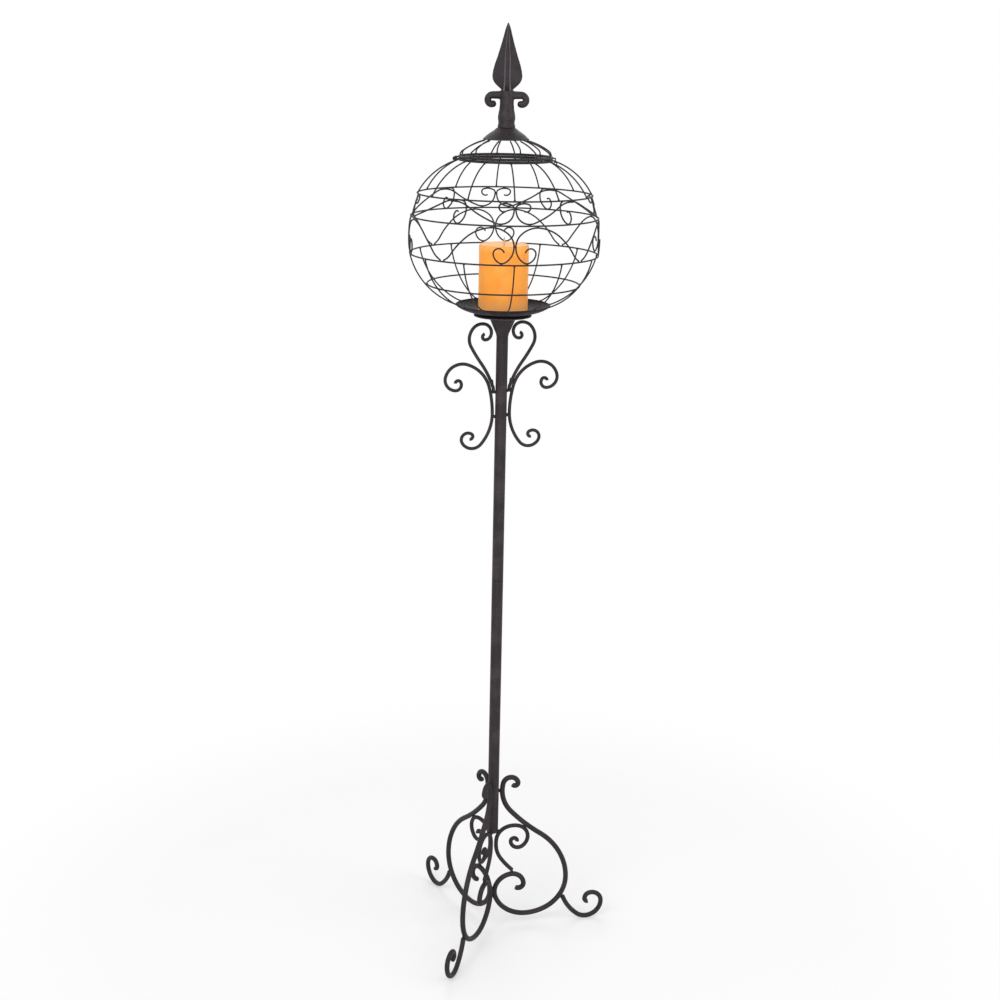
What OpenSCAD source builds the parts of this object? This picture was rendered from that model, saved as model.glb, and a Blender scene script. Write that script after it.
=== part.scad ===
// Torchere candle stand: a wrought-iron floor stand on three scrolled legs, with a
// wire globe cage and hinged lid round one pillar candle.
// Millimetres, +Z up. The origin is on the floor under the pole's axis, and the
// right-hand leg points along +X.

/* [Pole] */
// Outside diameter of the pole's two tubes
pole_d = 18.2; // [16:0.2:19]
// Wall of the tubes
pole_wall = 1.5; // [1:0.1:3]
// Height of the lower tube's bottom end above the inner scrolls' inmost bends
pole_foot = 24.2; // [24.1:0.1:31]
// Height of the joint between the two tubes
pole_joint = 626.6; // [500:1:800]
// Height of the upper tube's top end, inside the cup
pole_top = 1040; // [1036:0.5:1042]
// Diameter of the stud that joins the tubes
stud_d = 10; // [6:1:12]
// Length of the solid plugs in the tubes' ends
plug_length = 22; // [12:1:40]

/* [Legs] */
// Diameter of each leg's main rod
leg_rod_d = 8.5; // [7:0.1:8.6]
// Diameter of the curled foot rods
foot_rod_d = 8; // [6:0.5:9]
// Diameter of the thinner scroll inside each leg
inner_rod_d = 6.8; // [5:0.1:7]
// Space between the pole and the leg rods at their neck, where they stand upright
neck_space = 1.9; // [1.9:0.1:6]
// Height of that neck
neck_height = 253.7; // [250:0.1:275]
// Distance from the pole's axis to the lowest point of a foot
foot_reach = 167; // [150:0.5:185]
// Diameter of the short weld pegs between pole and legs
leg_peg_d = 6; // [4:0.5:8]

/* [Brackets] */
// Diameter of the bracket rods
bracket_rod_d = 5.2; // [4:0.1:5.3]
// Space between the pole and the lower C scroll's inmost bend
c_space = 1.9; // [1.8:0.1:6]
// Drop from the pole's top end to the right-hand C scroll's inmost bend
c_drop = 137; // [136:0.5:170]
// How much lower the left-hand bracket was welded on
left_drop = 2.3; // [0:0.1:5]
// Diameter of the weld pegs between pole and C scrolls
bracket_peg_d = 4; // [3:0.5:5]
// Height of the upper peg above the C scroll's inmost bend
upper_peg_rise = 35; // [25:1:42]
// Depth of the lower peg below it
lower_peg_drop = 4; // [2:1:20]

/* [Candle holder] */
// Radius of the trumpet cup's mouth
cup_mouth_r = 20; // [16:0.5:24]
// Length of pole that the cup covers
cup_grip = 15; // [8:0.5:20]
// Lean of the cup's flare, away from upright, in degrees
flare_lean = 23.5; // [23.5:0.1:24.5]
// Fall of the drip plate from its flat to its rim
drip_fall = 5; // [4:0.1:10]
// Radius of the drip plate
drip_r = 44.7; // [38:0.5:52]
// Height of the pan's floor, on which the candle stands, above the pole's top end
pan_stand = 22.7; // [20:0.1:30]
// Radius of the pan at its rim
pan_r = 72; // [66:0.2:76]
// Rise of the pan's rim above its floor
pan_rise = 9.8; // [6:0.2:12]
// Thickness of the sheet of pan and drip plate
sheet_t = 1.5; // [1:0.1:2]
// Radius of the sunk well in the middle of the pan
well_r = 12; // [10:0.5:16]
// Shank diameter of the screw that holds pan, plate and cup on the pole
screw_d = 6; // [4:0.5:8]

/* [Cage] */
// Turn of the cage about the pole, from the legs
cage_turn = -5; // [-15:1:5]
// Wire diameter of the hoops
hoop_wire_d = 2.4; // [1.8:0.1:2.6]
// Wire diameter of the ribs
rib_wire_d = 2.2; // [1.6:0.1:2.6]
// Wire diameter of the two mouth rings, on cage and lid
ring_wire_d = 3.2; // [2.4:0.1:3.4]
// Number of ribs above and below the scrolls
rib_count = 12; // [6:2:16]
// Centre-line radius of the mouth ring
mouth_r = 69.3; // [68:0.1:71]
// Height of the mouth ring above the pan's floor
mouth_h = 227.3; // [215:0.1:245]
// Centre-line radius of the crown hoop
crown_r = 131.9; // [130:0.1:134]
// Height of the crown hoop above the pan's floor
crown_h = 176.8; // [165:0.1:190]
// Height of the shoulder hoop above the pan's floor
shoulder_h = 143.4; // [136:0.1:152]
// Centre-line radius of the waist hoop
waist_r = 143.2; // [142:0.1:144]
// Height of the waist hoop above the pan's floor
waist_h = 87.6; // [78:0.1:98]
// Height of the low hoop, inside the lower ribs, above the pan's floor
low_h = 41.2; // [30:0.1:52]
// How far the upper ribs bow out from a straight line
upper_bulge = 8.2; // [5:0.1:12]
// How far the globe bows out between crown and waist
belly_bulge = 5.9; // [4:0.1:8]
// How far the lower ribs bow out from a straight line
lower_bulge = 13.7; // [10:0.1:17]

/* [Scroll wires] */
// Wire diameter of the scrolls
scroll_wire_d = 2.4; // [1.8:0.1:2.5]
// Sides of each scroll wire
scroll_sides = 6; // [6:1:8]

/* [Lid] */
// Turn of the lid's ribs about the pole, from the legs
lid_turn = 0; // [-5:1:5]
// Radius of the cap's rim
cap_r = 34.5; // [33:0.5:37]
// Height of the cap's rim above the lid ring
cap_rise = 25.6; // [25.4:0.1:27]
// Height of the cap's cone
cap_h = 17; // [14:0.5:20]
// Azimuth of the lid's hinge
hinge_turn = 165; // [163:1:167]
// Distance from the mouth ring's centre line out to the hinge pin
hinge_out = 7.2; // [6.8:0.1:10]
// Height of the hinge pin above the mouth ring's centre line
hinge_rise = 0.5; // [0:0.1:1]
// Diameter of the hinge pin
hinge_pin_d = 2.6; // [2:0.1:3]
// Outside diameter of the hinge barrels
barrel_d = 6; // [5:0.1:6.5]
// Length of the middle barrel
knuckle_w = 6; // [4:0.5:8]
// Length of each outer barrel
strap_w = 4; // [3:0.5:5]

/* [Finial] */
// Turn of the blade's flat about the pole, from the legs
finial_turn = -11; // [-90:1:90]
// Widest width of the spear blade
blade_w = 45; // [36:1:52]
// Thickness of the blade at its ridge
blade_t = 11; // [8:0.5:14]
// Height of the spear blade above its neck
blade_h = 96.3; // [80:0.5:110]
// Rod diameter of the side curls
curl_d = 10; // [6:0.2:10.4]
// Radius of the finial's stem where it stands on the cap
stem_r = 13.2; // [10:0.2:14]
// Height of the stem, from the cap to the neck
stem_h = 54; // [50:0.5:60]

/* [Candle] */
// Diameter of the pillar candle
candle_d = 76.2; // [50:0.2:80]
// Height of the candle
candle_h = 101.6; // [50:0.2:110]
// Radius of the candle's worn edges
candle_edge = 3.5; // [1:0.5:6]
// Diameter of the wick
wick_d = 2.4; // [1.5:0.1:4]
// Height of the wick above the wax
wick_h = 10; // [5:1:15]

/* [Hidden] */

iron = [0.20, 0.18, 0.19];
cast_iron = [0.24, 0.22, 0.23];
dark_sheet = [0.17, 0.15, 0.16];
wax = [0.95, 0.60, 0.22];
cotton = [0.85, 0.80, 0.70];

round_fn = 96;         // facets shown on large rounds
wire_fn = 24;          // facets shown round a rod or wire
weld_gap = 0.1;        // space left at welds between separate pieces
fit_gap = 0.05;        // running clearance round pins and in sockets
rest_gap = 0.3;        // space between pieces that can part
weld_swell = 0.05;     // how much the rod swells where two bends meet
bend_trim = 0.1;       // how far a bend stops short of the swell's middle

pole_r = pole_d / 2;
bore_r = pole_r - pole_wall;
leg_turns = [0, 115.5, 238];  // the right, back and front legs, not quite evenly spaced
side_turns = [0, 180];

// Bends of the rods, each [centre-line radius, degrees turned]. A positive radius turns
// left, seen with the pole on the left and Z up, and a negative one turns right.
leg_up = [[-58, 12.6], [-13, 150.4], [-5, 153]];
leg_down = [[57.9, 41.7], [295.7, 13.5], [-113, 37], [-93.3, 18.2], [-61.9, 61.2],
            [-76, 30.7], [-59.2, 38.4], [-51.6, 28.5], [-31.1, 103.9], [-20.7, 91.2],
            [-8.4, 128.2]];
foot_in_r = [26, 80];         // the foot rod's two bends from the floor up to the leg
foot_out = [[26.5, 92], [17, 100], [10.5, 83], [5, 91]];
inner_up = [[-103.4, 4.4], [-26.5, 65], [-34.2, 38], [-21.3, 128.9], [-12.7, 122.4],
            [-5.5, 183.4]];
inner_down = [[46.9, 34], [136.8, 13.3]];
s_up = [[26.5, 42], [18, 58], [13.5, 114], [8.5, 56], [4.5, 165]];
s_down = [[-24.5, 28], [-244, 7.2], [150, 16.5]];
c_up = [[-166, 15], [-51.5, 58], [-27, 94], [-17, 100], [-9, 123], [-4.5, 145]];
c_down = [[75, 40], [18, 113], [10.5, 150], [4.5, 153]];

inner_from_neck = [-8.96, -99.67];   // inner scroll's inmost bend, from the leg's neck
s_from_c = [38, 118.5];              // S scroll's outermost bend, from the C's inmost

// ---- bent rods -------------------------------------------------------------------

// Centre of bend s that starts at p = [across, height, heading]
function bend_centre(p, s) = [p[0] - s[0]*sin(p[2]), p[1] + s[0]*cos(p[2])];

// Place and heading a part t of the way round bend s
function after_bend(p, s, t = 1) =
    let (c = bend_centre(p, s), h = p[2] + sign(s[0])*s[1]*t)
    [c[0] + s[0]*sin(h), c[1] - s[0]*cos(h), h];

// Every place where one bend ends and the next begins
function bend_ends(p, run, i = 0) =
    i == len(run) ? [p] : concat([p], bend_ends(after_bend(p, run[i]), run, i + 1));

// Two bends, of radii r1 and then r2, that lead from p to the place called target
function bends_to(p, r1, r2, target) =
    let (side = sign(r1), c = bend_centre(p, [r1, 0]), to = target - c,
         far = abs(r2) - abs(r1),
         aim = atan2(to[1], to[0])
             + side*acos((to*to + far*far - r2*r2)/(2*norm(to)*far)),
         end = target - c - far*[cos(aim), sin(aim)])
    [[r1, (side*(aim - p[2]) + 630) % 360],
     [r2, (side*(atan2(end[1], end[0]) - aim) + 540) % 360]];

// A rod bent through a run of arcs in the XZ plane, from start = [x, z, heading]
module bent_run(start, run, rod_d) {
    at = bend_ends(start, run);
    for (i = [0 : len(run) - 1]) {
        p = at[i];
        s = run[i];
        trim = bend_trim/abs(s[0])*180/PI;
        last_trim = i == len(run) - 1 ? 0 : trim;
        c = bend_centre(p, s);
        from = s[0] > 0 ? p[2] - 90 + trim : p[2] + 90 - s[1] + last_trim;
        translate([c[0], 0, c[1]]) rotate([90, 0, 0]) rotate([0, 0, from])
            rotate_extrude(angle = s[1] - trim - last_trim, $fn = round_fn)
                translate([abs(s[0]), 0]) circle(d = rod_d, $fn = wire_fn);
        translate([p[0], 0, p[1]]) sphere(r = rod_d/2 + weld_swell, $fn = wire_fn);
    }
}

// A rod with one upright place, at = [reach from the pole, height], and a run of bends
// up and down from there
module bent_rod(at, up, down, rod_d) {
    bent_run([at[0], at[1], 90], up, rod_d);
    bent_run([at[0], at[1], 270], down, rod_d);
}

// ---- legs ------------------------------------------------------------------------

leg_neck = [pole_r + neck_space + leg_rod_d/2, neck_height];
hip = bend_ends([leg_neck[0], leg_neck[1], 270], leg_down)[4];   // its outermost bend
foot_joint_turn = 33;     // how far down the next bend the foot rod is welded on
foot_off = leg_rod_d/2 + weld_gap + foot_rod_d*0.32;   // its end's middle, off that bend
foot_joint = after_bend([hip[0] + foot_off, hip[1], 270],
                        [leg_down[4][0] - foot_off, foot_joint_turn]);
foot_low = [foot_reach, foot_rod_d/2];
foot_in = bends_to([foot_low[0], foot_low[1], 180], -foot_in_r[0], -foot_in_r[1],
                   [foot_joint[0], foot_joint[1]]);
inner_at = leg_neck + inner_from_neck;

module leg_rod(turn) color(iron) rotate([0, 0, turn])
    bent_rod(leg_neck, leg_up, leg_down, leg_rod_d);

module foot_scroll(turn) color(iron) rotate([0, 0, turn]) {
    bent_run([foot_low[0], foot_low[1], 180], foot_in, foot_rod_d);
    bent_run([foot_low[0], foot_low[1], 0], foot_out, foot_rod_d);
}

module inner_scroll(turn) color(iron) rotate([0, 0, turn])
    bent_rod(inner_at, inner_up, inner_down, inner_rod_d);

module leg_pegs() color(iron)
    for (turn = leg_turns) rotate([0, 0, turn])
        peg_to(leg_neck[0] - leg_rod_d/2, leg_neck[1], leg_peg_d);

// A peg from the pole out to the reach given, its ends clear of both round surfaces
module peg_to(reach, height, peg_d) {
    translate([pole_r + weld_gap, 0, height]) rotate([0, 90, 0])
        cylinder(d = peg_d, h = reach - pole_r - 2*weld_gap, $fn = wire_fn);
}

// ---- pole ------------------------------------------------------------------------

module tube(z0, z1) translate([0, 0, z0]) difference() {
    cylinder(r = pole_r, h = z1 - z0, $fn = round_fn);
    translate([0, 0, -1]) cylinder(r = bore_r, h = z1 - z0 + 2, $fn = round_fn);
}

module lower_pole() color(iron) tube(inner_at[1] + pole_foot, pole_joint - weld_gap);

module upper_pole() color(iron) tube(pole_joint, pole_top);

// Solid plug that fits the tube's bore, drilled through for a stud or screw
module plug(z0, hole_d) translate([0, 0, z0]) difference() {
    cylinder(r = bore_r - fit_gap, h = plug_length, $fn = round_fn);
    translate([0, 0, -1]) cylinder(d = hole_d, h = plug_length + 2, $fn = wire_fn);
}

module joint_plug() color(cast_iron)
    plug(pole_joint - weld_gap - plug_length, stud_d + 2*fit_gap);

module joint_socket() color(cast_iron) plug(pole_joint, stud_d + 2*fit_gap);

module joint_stud() color(cast_iron) translate([0, 0, pole_joint - plug_length])
    cylinder(d = stud_d, h = 2*plug_length - 2, $fn = wire_fn);

module top_plug() color(cast_iron)
    plug(pole_top - plug_length, screw_d + 2*fit_gap);

// ---- brackets --------------------------------------------------------------------

c_at = [pole_r + c_space + bracket_rod_d/2, pole_top - c_drop];
s_at = c_at + s_from_c;

module bracket_s(turn, drop) color(iron) translate([0, 0, -drop]) rotate([0, 0, turn])
    bent_rod(s_at, s_up, s_down, bracket_rod_d);

module bracket_c(turn, drop) color(iron) translate([0, 0, -drop]) rotate([0, 0, turn])
    bent_rod(c_at, c_up, c_down, bracket_rod_d);

// Reach of the C scroll's inner side beside a peg that is so far above or below its
// inmost bend, which is the start of a bend of radius r
function c_face(off, r) = c_at[0] + r
    - sqrt(pow(r + bracket_rod_d/2, 2) - pow(max(off - bracket_peg_d/2, 0), 2));

module bracket_pegs() color(iron) for (side = [0, 1])
    translate([0, 0, -side*left_drop]) rotate([0, 0, side_turns[side]]) {
        peg_to(c_face(upper_peg_rise, abs(c_up[0][0])), c_at[1] + upper_peg_rise,
               bracket_peg_d);
        peg_to(c_face(lower_peg_drop, c_down[0][0]), c_at[1] - lower_peg_drop,
               bracket_peg_d);
    }

// ---- candle holder ---------------------------------------------------------------

pan_floor_z = pole_top + pan_stand;
well_depth = 4.2;                                  // how far the pan's well is sunk
well_z = pan_floor_z - well_depth;                 // floor of the well
plate_crown_z = pan_floor_z - sheet_t - weld_gap;  // top of the drip plate's flat
plate_flat_r = 27;                                 // radius of that flat
plate_hole_r = well_r + sheet_t + weld_gap;        // hole in the plate, round the well
drip_rim_z = plate_crown_z - drip_fall;            // middle of the plate's edge
cup_bottom = pole_top - cup_grip;
cup_top = plate_crown_z - sheet_t - weld_gap;      // cup's mouth, under the plate
cup_lip = 0.8;                                     // thickness of the cup's collar
cup_lip_h = 2;                                     // height of that collar
screw_head_h = 3.4;                                // height of the pan screw's head

// Trumpet: a collar over the pole, a straight flare and an upright rim
module cup() color(cast_iron) difference() {
    collar_r = pole_r + cup_lip;
    flare_z = cup_bottom + cup_lip_h;
    rim_z = flare_z + (cup_mouth_r - collar_r)/tan(flare_lean);
    rotate_extrude($fn = round_fn) polygon([
        [0, cup_bottom], [collar_r, cup_bottom], [collar_r, flare_z],
        [cup_mouth_r, rim_z], [cup_mouth_r, cup_top], [0, cup_top]
    ]);
    translate([0, 0, cup_bottom - 1])
        cylinder(r = pole_r + fit_gap, h = pole_top + weld_gap - cup_bottom + 1,
                 $fn = round_fn);
    cylinder(d = screw_d + 2*fit_gap, h = cup_top + 1, $fn = wire_fn);
    translate([0, 0, well_z - sheet_t - weld_gap])
        cylinder(r = plate_hole_r, h = well_depth, $fn = round_fn);
}

// Saucer that slopes down from a flat crown to its rim
module drip_plate() color(dark_sheet) rotate_extrude($fn = round_fn) polygon([
    [plate_hole_r, plate_crown_z - sheet_t],
    [plate_flat_r, plate_crown_z - sheet_t],
    [drip_r - sheet_t, drip_rim_z - sheet_t/2],
    [drip_r, drip_rim_z - sheet_t/2],
    [drip_r, drip_rim_z + sheet_t/2],
    [drip_r - sheet_t, drip_rim_z + sheet_t],
    [plate_flat_r, plate_crown_z],
    [plate_hole_r, plate_crown_z]
]);

// Dish: flat floor with a sunk well, and a wall that curves up to the rim
pan_flat_r = 41.5;                            // where the floor starts to rise
pan_run = pan_r - pan_flat_r;                 // how far the wall goes out
wall_r = (pow(pan_run, 2) + pow(pan_rise, 2))/(2*pan_rise);   // its bend
wall_turn = asin(pan_run/wall_r);             // how far it turns

wall_steps = 10;                              // straights that the wall is drawn with
function wall_points(r) = [for (i = [1 : wall_steps])
    let (a = wall_turn*i/wall_steps)
    [pan_flat_r + r*sin(a), pan_floor_z + wall_r - r*cos(a)]];

module pan() color(dark_sheet) difference() {
    rotate_extrude($fn = round_fn) polygon(concat(
        [[0, well_z - sheet_t], [well_r + sheet_t, well_z - sheet_t],
         [well_r + sheet_t, pan_floor_z - sheet_t], [pan_flat_r, pan_floor_z - sheet_t]],
        wall_points(wall_r + sheet_t), reversed(wall_points(wall_r)),
        [[pan_flat_r, pan_floor_z], [well_r, pan_floor_z],
         [well_r, well_z], [0, well_z]]
    ));
    cylinder(d = screw_d + 2*fit_gap, h = pan_floor_z + 1, $fn = wire_fn);
}

module pan_screw() color(cast_iron) {
    head_z = well_z + weld_gap;
    translate([0, 0, pole_top - plug_length + 4])
        cylinder(d = screw_d, h = head_z - pole_top + plug_length - 3, $fn = wire_fn);
    translate([0, 0, head_z]) cylinder(d = screw_d*1.8, h = screw_head_h, $fn = wire_fn);
}

// ---- cage ------------------------------------------------------------------------

// A bow [x, z, r] from place a up to place b that stands out by bulge between them
function bowed(a, b, bulge) =
    let (run = b - a, r = (run*run/4 + bulge*bulge)/(2*bulge))
    concat((a + b)/2 - [run[1], -run[0]]/norm(run)*(r - bulge), [r]);

// Radius of the bow q = [x, z, r] at a height
function bow_at(q, z) = q[0] + sqrt(pow(q[2], 2) - pow(z - q[1], 2));

mouth_z = pan_floor_z + mouth_h;
crown_z = pan_floor_z + crown_h;
shoulder_z = pan_floor_z + shoulder_h;
waist_z = pan_floor_z + waist_h;
low_z = pan_floor_z + low_h;
mouth = [mouth_r, mouth_z];
crown = [crown_r, crown_z];
waist = [waist_r, waist_z];
pan_rim = [pan_r + 0.8, pan_floor_z + pan_rise + 0.2];   // where the lower ribs start
upper_bow = bowed(crown, mouth, upper_bulge);
belly_bow = bowed(waist, crown, belly_bulge);
lower_bow = bowed(pan_rim, waist, lower_bulge);
shoulder_r = bow_at(belly_bow, shoulder_z);
low_bow = [lower_bow[0], lower_bow[1],
           lower_bow[2] - (rib_wire_d + hoop_wire_d)/2 - weld_gap];
low_r = bow_at(low_bow, low_z);

module hoop(r, z, wire_d) translate([0, 0, z]) rotate_extrude($fn = round_fn)
    translate([r, 0]) circle(d = wire_d, $fn = wire_fn);

module mouth_ring() color(iron) hoop(mouth_r, mouth_z, ring_wire_d);
module crown_hoop() color(iron) hoop(crown_r, crown_z, hoop_wire_d);
module shoulder_hoop() color(iron) hoop(shoulder_r, shoulder_z, hoop_wire_d);
module waist_hoop() color(iron) hoop(waist_r, waist_z, hoop_wire_d);
module low_hoop() color(iron) hoop(low_r, low_z, hoop_wire_d);

// A wire bowed round q from place a up to place b, cut back at each end
module bow(q, a, b, cut_a, cut_b, wire_d) {
    from = atan2(a[1] - q[1], a[0] - q[0]) + cut_a/q[2]*180/PI;
    to = atan2(b[1] - q[1], b[0] - q[0]) - cut_b/q[2]*180/PI;
    translate([q[0], 0, q[1]]) rotate([90, 0, 0]) rotate([0, 0, from])
        rotate_extrude(angle = to - from, $fn = 2*round_fn)
            translate([q[2], 0]) circle(d = wire_d, $fn = wire_fn);
}

module round_the_cage() for (i = [0 : rib_count - 1])
    rotate([0, 0, cage_turn + i*360/rib_count]) children();

module upper_ribs() color(iron) round_the_cage()
    bow(upper_bow, crown, mouth, hoop_wire_d/2 + weld_gap, ring_wire_d/2 + weld_gap,
        rib_wire_d);

module lower_ribs() color(iron) round_the_cage()
    bow(lower_bow, pan_rim, waist, 0, hoop_wire_d/2 + weld_gap, rib_wire_d);

// ---- scroll wires on the globe ---------------------------------------------------

// The scrolls are laid out flat as [millimetres round the globe, height above the hoop
// below them] and then wrapped on the globe's bow. The layout is true where the globe's
// radius is wrap_r and the hoops stand as far apart as lower_room and upper_room.
wrap_r = 141.5;
lower_room = 55.8;                                    // waist hoop to shoulder hoop
upper_room = 33.4;                                    // shoulder hoop to crown hoop
touch = (scroll_wire_d + hoop_wire_d)/2 + weld_gap;   // wire to hoop, centre to centre
pair_gap = scroll_wire_d/2 + weld_gap;                // wire to its mirror's plane
shortest_step = 9;                                    // longest straight in a wire, mm
widest_step = 24;                                     // widest turn in one step

// Steps that a bend needs
function steps(s) = ceil(max(s[1]/widest_step, abs(s[0])*s[1]*PI/180/shortest_step));

// Places along a run of bends, from start to end
function trace(start, run) =
    let (at = bend_ends(start, run))
    concat([for (i = [0 : len(run) - 1], k = [0 : steps(run[i]) - 1])
                after_bend(at[i], run[i], k/steps(run[i]))],
           [at[len(run)]]);

// The same run walked the other way
function reversed(list) = [for (i = [len(list) - 1 : -1 : 0]) list[i]];

// A flat layout put on the globe, its heights stretched to the space from z to top for
// which it was drawn room high, and sunk below the globe's bow by depth
function wrapped(flat, z, top, room, depth) = [for (p = flat)
    let (h = z + p[1]*(top - z)/room, r = bow_at(belly_bow, h) - depth,
         a = p[0]/wrap_r*180/PI)
    [r*cos(a), r*sin(a), h]];

function unit(v) = v/norm(v);

// A wire along places on the globe, as one closed skin
module globe_wire(places, wire_d) {
    n = len(places);
    rings = [for (i = [0 : n - 1])
        let (along = unit(places[min(i + 1, n - 1)] - places[max(i - 1, 0)]),
             out = unit([places[i][0], places[i][1], places[i][2] - belly_bow[1]]),
             across = unit(cross(along, out)),
             lift = cross(across, along))
        for (k = [0 : scroll_sides - 1])
            let (a = 360*k/scroll_sides)
            places[i] + wire_d/2*(cos(a)*across + sin(a)*lift)];
    walls = [for (i = [0 : n - 2], k = [0 : scroll_sides - 1])
        let (a = i*scroll_sides + k, b = i*scroll_sides + (k + 1) % scroll_sides)
        each [[a, b, b + scroll_sides], [a, b + scroll_sides, a + scroll_sides]]];
    first = [for (k = [1 : scroll_sides - 2]) [0, k + 1, k]];
    base = (n - 1)*scroll_sides;
    last = [for (k = [1 : scroll_sides - 2]) [base, base + k, base + k + 1]];
    polyhedron(rings, concat(walls, first, last));
}

// A wire and its mirror image on either side of the motif's middle
module mirrored_pair(turn, places) rotate([0, 0, cage_turn + turn]) {
    globe_wire(places, scroll_wire_d);
    mirror([0, 1, 0]) globe_wire(places, scroll_wire_d);
}

function after_first(list) = [for (i = [1 : len(list) - 1]) list[i]];

// Places along a wire that is bent one way down and another way up from its middle
function both_ways(height, down, up) = concat(
    reversed(trace([pair_gap, height, 270], down)),
    after_first(trace([pair_gap, height, 90], up)));

// Lower scroll: from the middle, down round a spiral that rests on the waist hoop, and
// up over an arch under the shoulder hoop to a foot on the waist hoop
lower_mid = 26.7;                                     // its middle above the waist hoop
spiral_run = [[30, 21], [24, 38], [9, 60], [16, 50], [8, 70], [7.5, 50], [8.5, 50]];
arch_run = [[-24, 52], [-36, 46], [-64, 32], [-160, 13], [30, 31]];

module lower_scrolls() color(iron) for (turn = [0 : 90 : 270])
    mirrored_pair(turn, wrapped(both_ways(lower_mid, spiral_run, arch_run),
                                waist_z, shoulder_z, lower_room, 0));

// Upper scroll: from the middle, up round a small curl under the crown hoop, and down
// through a trough on the shoulder hoop and up to the crown hoop. The hooked kind goes
// down past the shoulder hoop's inside instead, and ends in a hanging curl.
upper_mid = 23.8;                                     // its middle above the shoulder hoop
curl_run = [[-5.2, 62], [-22, 46], [-4.2, 88], [-7, 100]];
trough_run = [[27, 19], [18, 45], [21.5, 47], [260, 10], [-52, 38]];
hook_run = [[27, 17], [22, 48], [12.5, 37], [400, 12], [-68, 31], [-10, 62], [-21, 75],
            [-6, 77], [-11, 84], [-3, 100]];

module upper_pair(turn, run, depth) mirrored_pair(turn,
    wrapped(both_ways(upper_mid, run, curl_run), shoulder_z, crown_z, upper_room, depth));

module upper_scrolls() color(iron)
    for (turn = [90, 270]) upper_pair(turn, trough_run, 0);

module hook_scrolls() color(iron)
    for (turn = [0, 180]) upper_pair(turn, hook_run, touch);

// ---- hinge -----------------------------------------------------------------------

lid_z = mouth_z + ring_wire_d + rest_gap;      // height of the lid ring
barrel_gap = 0.15;                             // side play between barrels
arm_t = 1.8;                                   // thickness of the hinge arms
arm_drop = 0.6;                                // arms' middle below the rings' middle
arm_in = mouth_r + ring_wire_d/2 + weld_gap;   // where the arms meet the rings
hinge_reach = mouth_r + hinge_out;
hinge_z = mouth_z + hinge_rise;

module at_hinge() rotate([0, 0, hinge_turn]) translate([hinge_reach, 0, hinge_z])
    rotate([90, 0, 0]) children();

// A barrel on the pin's axis, with its bore
module barrel(w, offset) translate([0, 0, offset - w/2]) difference() {
    cylinder(d = barrel_d, h = w, $fn = wire_fn);
    translate([0, 0, -1]) cylinder(d = hinge_pin_d + 2*fit_gap, h = w + 2, $fn = wire_fn);
}

// A flat arm from the barrel in to the ring at height z
module hinge_arm(w, offset, z) difference() {
    translate([arm_in - hinge_reach, z - arm_drop - hinge_z - arm_t/2, offset - w/2])
        cube([hinge_reach - arm_in, arm_t, w]);
    translate([0, 0, offset - w/2 - 1])
        cylinder(d = barrel_d - arm_t, h = w + 2, $fn = wire_fn);
}

module hinge_knuckle() color(iron) at_hinge() {
    barrel(knuckle_w, 0);
    hinge_arm(knuckle_w, 0, mouth_z);
}

module hinge_pin() color(iron) at_hinge() {
    w = knuckle_w + 2*strap_w + 4*barrel_gap;
    head_h = 1;
    cylinder(d = hinge_pin_d, h = w, center = true, $fn = wire_fn);
    for (side = [-1, 1]) translate([0, 0, side*(w + head_h)/2])
        cylinder(d = hinge_pin_d*1.6, h = head_h, center = true, $fn = wire_fn);
}

// ---- lid -------------------------------------------------------------------------

cap_rim_z = lid_z + cap_rise;
cap_edge = 1.6;                                // height of the cap's upright rim
cap_wall = 1.8;                                // thickness of that rim
cap_crown = 4.2;                               // thickness of the cone under the finial
cap_seat_r = stem_r + 0.6;                     // radius of the cone's flat top
cap_top_z = cap_rim_z + cap_h;

module lid_ring() color(iron) hoop(mouth_r, lid_z, ring_wire_d);

// Each lid rib stands on the ring, bends in over the mouth and ends under the cap's rim
lid_rib_start = [mouth_r, lid_z + (ring_wire_d + rib_wire_d)/2 + weld_swell + weld_gap, 90];
lid_rib_run = bends_to(lid_rib_start, 7.6, 100,
                       [cap_r - cap_wall, cap_rim_z - rib_wire_d/2 - weld_gap]);

module lid_ribs() color(iron) for (i = [0 : rib_count - 1])
    rotate([0, 0, lid_turn + i*360/rib_count])
        bent_run(lid_rib_start, lid_rib_run, rib_wire_d);

module lid_straps() color(iron) at_hinge()
    for (side = [-1, 1]) {
        offset = side*(knuckle_w/2 + barrel_gap + strap_w/2);
        barrel(strap_w, offset);
        hinge_arm(strap_w, offset, lid_z);
    }

// Wire eye outside the mouth rings, opposite the hinge, by which the lid is lifted
loop_wire_d = 1.8;
loop_eye_r = 2.1;                              // centre-line radius of the eye
loop_drop = 7.6;                               // from the lid ring down to the eye
loop_reach = mouth_r + ring_wire_d/2 + rest_gap + loop_eye_r + loop_wire_d/2;

module lift_loop() color(iron) rotate([0, 0, hinge_turn + 180]) {
    translate([loop_reach, 0, lid_z - loop_drop]) rotate([90, 0, 0])
        rotate_extrude($fn = wire_fn) translate([loop_eye_r, 0])
            circle(d = loop_wire_d, $fn = wire_fn);
    translate([loop_reach, 0, lid_z - loop_drop + loop_eye_r])
        cylinder(d = loop_wire_d, h = loop_drop - loop_eye_r, $fn = wire_fn);
    translate([loop_reach, 0, lid_z]) sphere(d = loop_wire_d + 0.1, $fn = wire_fn);
    translate([mouth_r + ring_wire_d/2 + weld_gap, 0, lid_z]) rotate([0, 90, 0])
        cylinder(d = loop_wire_d, h = loop_reach - mouth_r - ring_wire_d/2 - weld_gap,
                 $fn = wire_fn);
}

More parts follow.
